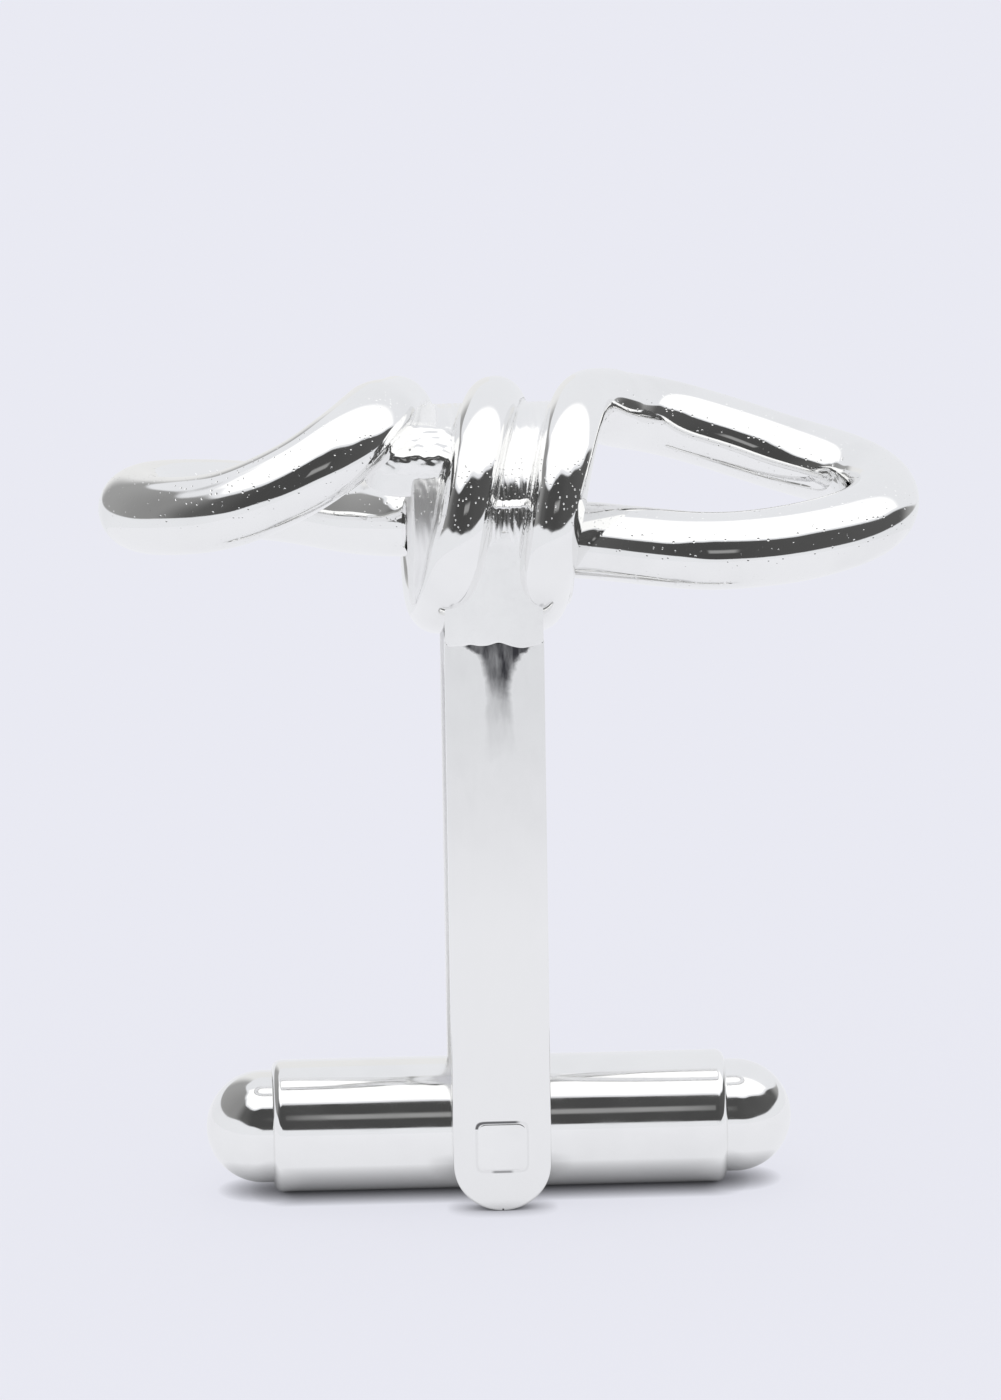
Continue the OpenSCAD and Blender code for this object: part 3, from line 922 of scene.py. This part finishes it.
front_band = ((knot_z + 0.1) * mm, (knot_z + 2.1) * mm)
loop_silver = silver_finish(
    "loop silver", 0.03, 0.08, (2.5, 0.010), (0.16, 0.006), (0.3, 0.0008), (0.25, 1, 1)
)
wrap_silver = silver_finish(
    "wrap silver", 0.03, 0.10, (2.0, 0.008), (0.13, 0.012), (0.25, 0.0005), (1, 0.3, 0.3),
    pit_band=front_band,
)
drum_silver = silver_finish(
    "drum silver", 0.04, 0.3, (1.2, 0.008), (0.11, 0.012), (0.09, 0.008), (1, 0.06, 0.06),
    pit_band=front_band, unpolished=("X", -9, -1.6, 0.36, 0.1),
)
solder_metal = silver_finish(
    "silver solder", 0.08, 0.16, (1.2, 0.004), (0.2, 0), (0.2, 0.0004), (1, 1, 1)
)
# The post's darkening is painted: a dark reflection under the knot and a shadow round the pin.
post_silver = silver_finish(
    "post silver", 0.06, 0.14, (3.0, 0.006), (0.2, 0), (0.3, 0.0004), (1, 1, 0.25),
    stain=post_marks, unpolished=("Y", -inner_y - 0.06, inner_y + 0.06, 0.6, 0.9),
)
toggle_silver = silver_finish(
    "toggle silver", 0.05, 0.12, (3.0, 0.004), (0.2, 0), (0.3, 0.0003), (0.25, 1, 1)
)
pin_metal = silver_finish(
    "pin metal", 0.06, 0.14, (2.0, 0.004), (0.2, 0), (0.3, 0.0004), (0.5, 1, 1)
)
spring_steel = silver_finish(
    "spring steel", 0.18, 0.35, (2.0, 0.004), (0.2, 0), (0.2, 0.001), (0.1, 1, 1),
    tone=(0.62, 0.62, 0.64),
)

# %% Put the finishes on
for piece, finish in [
    (wire["left_loop_wire"], loop_silver),
    (wire["right_loop_wire"], loop_silver),
    (wire["wrap_wire"], wrap_silver),
    (drum, drum_silver),
    (pad, solder_metal),
    (crook, solder_metal),
    (post, post_silver),
    (pin, pin_metal),
    (barrel, toggle_silver),
    (tip_left, toggle_silver),
    (tip_right, toggle_silver),
    (nodes["leaf_spring_upper"], spring_steel),
    (nodes["leaf_spring_lower"], spring_steel),
]:
    piece.data.materials.clear()
    piece.data.materials.append(finish)

# %% [markdown]
# ## Floor and surroundings
# Polished metal needs something to reflect. Small silver is photographed inside a white tent
# with a slot for the lens: the slot is the dark band in every round surface, and the lamp
# shining through the roof is the white above it. The tent here is a dome that only shiny
# surfaces see. It stands near, so the toggle and the knot see the slot at different heights,
# as they do in a real tent. Soft light for the floor comes from the world.

# %% The floor's sheet
floor_reach = 1.2
floor_mesh = bpy.data.meshes.new("floor")
floor_corners = [(x, y, 0) for x, y in [(-1, -1), (1, -1), (1, 1), (-1, 1)]]
floor_mesh.from_pydata((np.array(floor_corners) * floor_reach).tolist(), [], [(0, 1, 2, 3)])
floor = bpy.data.objects.new("floor", floor_mesh)
bpy.context.scene.collection.objects.link(floor)

# %% The floor's paper glows as on a light table, with a painted contact shadow under the toggle
paper = bpy.data.materials.new("pale paper")
paper.use_nodes = True
tree = paper.node_tree
paper_skin = tree.nodes["Principled BSDF"]
paper_skin.inputs["Base Color"].default_value = (0.845, 0.85, 0.925, 1)
paper_skin.inputs["Roughness"].default_value = 0.9
paper_skin.inputs["Specular IOR Level"].default_value = 0.0
rays = add(tree, "ShaderNodeLightPath")
to_camera, in_mirror = rays.outputs["Is Camera Ray"], rays.outputs["Is Glossy Ray"]
# Painted contact shadow: ambient occlusion darkens the glow, reaching further in reflections.
shadow_reach = reckon(tree, "MULTIPLY_ADD", to_camera, -0.45 * mm, 1.25 * mm)
# In reflections the floor's glow is painted a little brighter than the camera sees it.
tint = mixed(tree, to_camera, (0.893, 0.899, 0.923, 1), (0.817, 0.822, 0.894, 1))
shade = add(
    tree, "ShaderNodeAmbientOcclusion", {"samples": 16}, Distance=shadow_reach, Color=tint
)
from_below = add(tree, "ShaderNodeEmission", Color=shade.outputs["Color"], Strength=1.0)
lit_share = reckon(tree, "MULTIPLY", reckon(tree, "MAXIMUM", to_camera, in_mirror), 0.78)
paper_mix = add(tree, "ShaderNodeMixShader", Fac=lit_share)
tree.links.new(paper_skin.outputs["BSDF"], paper_mix.inputs[1])
tree.links.new(from_below.outputs["Emission"], paper_mix.inputs[2])
tree.links.new(paper_mix.outputs["Shader"], tree.nodes["Material Output"].inputs["Surface"])
floor.data.materials.append(paper)

# %% The tent's shape
tent_radius = 60
rise = np.linspace(-0.03, math.pi / 2, 48)[:, None]
turn = np.linspace(0, 2 * math.pi, 96, endpoint=False)[None, :]
tent_x, tent_y = np.cos(rise) * np.cos(turn), np.cos(rise) * np.sin(turn)
tent_grid = tent_radius * np.stack(np.broadcast_arrays(tent_x, tent_y, np.sin(rise)), axis=-1)
tent = skin("tent", tent_grid, -tent_grid / tent_radius, capped=False)
tent.visible_camera = tent.visible_diffuse = tent.visible_shadow = False

# %% Directions on the tent: azimuth 0 is the front, and positive is to the right
cloth = bpy.data.materials.new("tent cloth")
cloth.use_nodes = True
tree = cloth.node_tree
tree.nodes.clear()
place = add(tree, "ShaderNodeTexCoord")
way = add(tree, "ShaderNodeVectorMath", {"operation": "NORMALIZE"})
tree.links.new(place.outputs["Object"], way.inputs[0])
parts = add(tree, "ShaderNodeSeparateXYZ", Vector=way.outputs["Vector"])
to_right, to_back, upward = parts.outputs["X"], parts.outputs["Y"], parts.outputs["Z"]
rise = reckon(tree, "DIVIDE", reckon(tree, "ARCSINE", upward), math.pi / 2)
azimuth = reckon(tree, "ARCTAN2", to_right, reckon(tree, "MULTIPLY", to_back, -1))
azimuth_share = reckon(tree, "MULTIPLY_ADD", azimuth, 0.5 / math.pi, 0.5)

# %% The slot, the grey side and the lamp
slot_top = by_turn(tree, azimuth_share, [
    (-180, 0.50), (-140, 0.58), (-100, 0.66), (-78, 0.60), (-58, 0.52), (-38, 0.50),
    (-12, 0.58), (0, 0.60), (45, 0.50), (90, 0.37), (140, 0.15), (180, 0.1),
])
slot_bottom = by_turn(tree, azimuth_share, [
    (-180, 0.2), (-90, 0.2), (-60, 0.23), (-30, 0.17), (0, 0.10),
    (30, 0.08), (60, 0.10), (100, 0.15), (180, 0.15),
])
slot_tone = by_turn(tree, azimuth_share, [
    (-180, 0.84), (-160, 0.84), (-140, 0.36), (-74, 0.27), (-52, 0.10), (-30, 0.065), (0, 0.065),
    (40, 0.08), (100, 0.10), (120, 0.35), (145, 0.84), (180, 0.84),
])
soft = 0.012
bottom_start = reckon(tree, "SUBTRACT", slot_bottom, soft)
bottom_end = reckon(tree, "ADD", slot_bottom, soft)
top_start = reckon(tree, "SUBTRACT", slot_top, soft)
top_end = reckon(tree, "ADD", slot_top, soft)
above_bottom = step_up(tree, rise, bottom_start, bottom_end)
above_top = step_up(tree, rise, top_start, top_end)
in_slot = product(tree, above_bottom, one_less(tree, above_top))
line_tall = reckon(
    tree, "SUBTRACT", step_up(tree, rise, 0.27, 0.315), step_up(tree, rise, 0.355, 0.40)
)
line_wide = reckon(
    tree, "SUBTRACT", step_up(tree, to_right, -0.11, -0.08), step_up(tree, to_right, 0.13, 0.19)
)
in_front = reckon(tree, "LESS_THAN", to_back, 0)
light_line = product(tree, line_tall, line_wide, in_front)
tone_in_slot = reckon(tree, "MULTIPLY_ADD", light_line, 0.25, slot_tone)
lamp_start = reckon(tree, "ADD", slot_top, 0.02)
lamp_end = reckon(tree, "ADD", slot_top, 0.05)
lamp_front = step_up(tree, rise, lamp_start, lamp_end)
lamp_back = one_less(tree, step_up(tree, to_back, 0.12, 0.2))
lamp_left = step_up(tree, to_right, -0.68, -0.60)
lamp = product(tree, lamp_front, lamp_back, lamp_left)

# %% Tones of the cloth
pale_cloth, lamp_white = (0.84, 0.85, 0.88, 1), (1.2, 1.2, 1.2, 1)
seen_tone = mixed(tree, in_slot, mixed(tree, lamp, pale_cloth, lamp_white), tone_in_slot)
glow = add(tree, "ShaderNodeEmission", Color=seen_tone, Strength=1.0)
add(tree, "ShaderNodeOutputMaterial", Surface=glow.outputs["Emission"])
tent.data.materials.append(cloth)

# %% The world: soft light for the floor, stronger from above
world = bpy.data.worlds.new("studio")
bpy.context.scene.world = world
world.use_nodes = True
sky = world.node_tree
sky.nodes.clear()
way = add(sky, "ShaderNodeTexCoord")
parts = add(sky, "ShaderNodeSeparateXYZ", Vector=way.outputs["Generated"])
strength = add(
    sky, "ShaderNodeMapRange", Value=parts.outputs["Z"],
    From_Min=0.0, From_Max=1.0, To_Min=0.6, To_Max=1.15,
)
seen = add(sky, "ShaderNodeLightPath")
room = add(sky, "ShaderNodeBackground", Color=(1, 1, 1, 1), Strength=strength.outputs["Result"])
plain = add(sky, "ShaderNodeBackground", Color=(0.82, 0.82, 0.90, 1), Strength=1.0)
either = add(sky, "ShaderNodeMixShader")
sky.links.new(seen.outputs["Is Camera Ray"], either.inputs[0])
sky.links.new(room.outputs["Background"], either.inputs[1])
sky.links.new(plain.outputs["Background"], either.inputs[2])
add(sky, "ShaderNodeOutputWorld", Surface=either.outputs["Shader"])

# %% [markdown]
# ## The camera
# A long lens looks slightly down on the cufflink, almost square to its front. The whole frame is
# 1400 pixels high, and a millimetre at the cufflink is 31.7 of them.

# %% The camera
azimuth, elevation, roll = math.radians(-1.8), math.radians(14.5), math.radians(0.9)
camera_distance = 300 * mm
frame_pixels, pixels_per_mm = 1400, 31.7
view_height = frame_pixels / pixels_per_mm * mm
aim = Vector((0, 0, 13 * mm))
right = Vector((math.cos(azimuth), math.sin(azimuth), 0))
level = Vector((-math.sin(azimuth), math.cos(azimuth), 0))
forward_way = level * math.cos(elevation) - Vector((0, 0, 1)) * math.sin(elevation)
up = level * math.sin(elevation) + Vector((0, 0, 1)) * math.cos(elevation)
camera_place = aim - forward_way * camera_distance
looked_at = aim + right * 0.258 * mm + up * 2.791 * mm
look = (looked_at - camera_place).normalized()
camera_right = look.cross(up).normalized()
camera_up = camera_right.cross(look)
turned_right = camera_right * math.cos(roll) - camera_up * math.sin(roll)
turned_up = camera_right * math.sin(roll) + camera_up * math.cos(roll)
camera_data = bpy.data.cameras.new("camera")
camera_data.sensor_width = 36
camera_data.lens = 36 * (looked_at - camera_place).length / view_height
camera_data.clip_start, camera_data.clip_end = 0.01, 10
camera = bpy.data.objects.new("camera", camera_data)
camera_turn = Matrix((turned_right, turned_up, -look)).transposed().to_4x4()
camera.matrix_world = Matrix.Translation(camera_place) @ camera_turn
bpy.context.scene.collection.objects.link(camera)
bpy.context.scene.camera = camera
bpy.context.scene.view_settings.view_transform = "Standard"
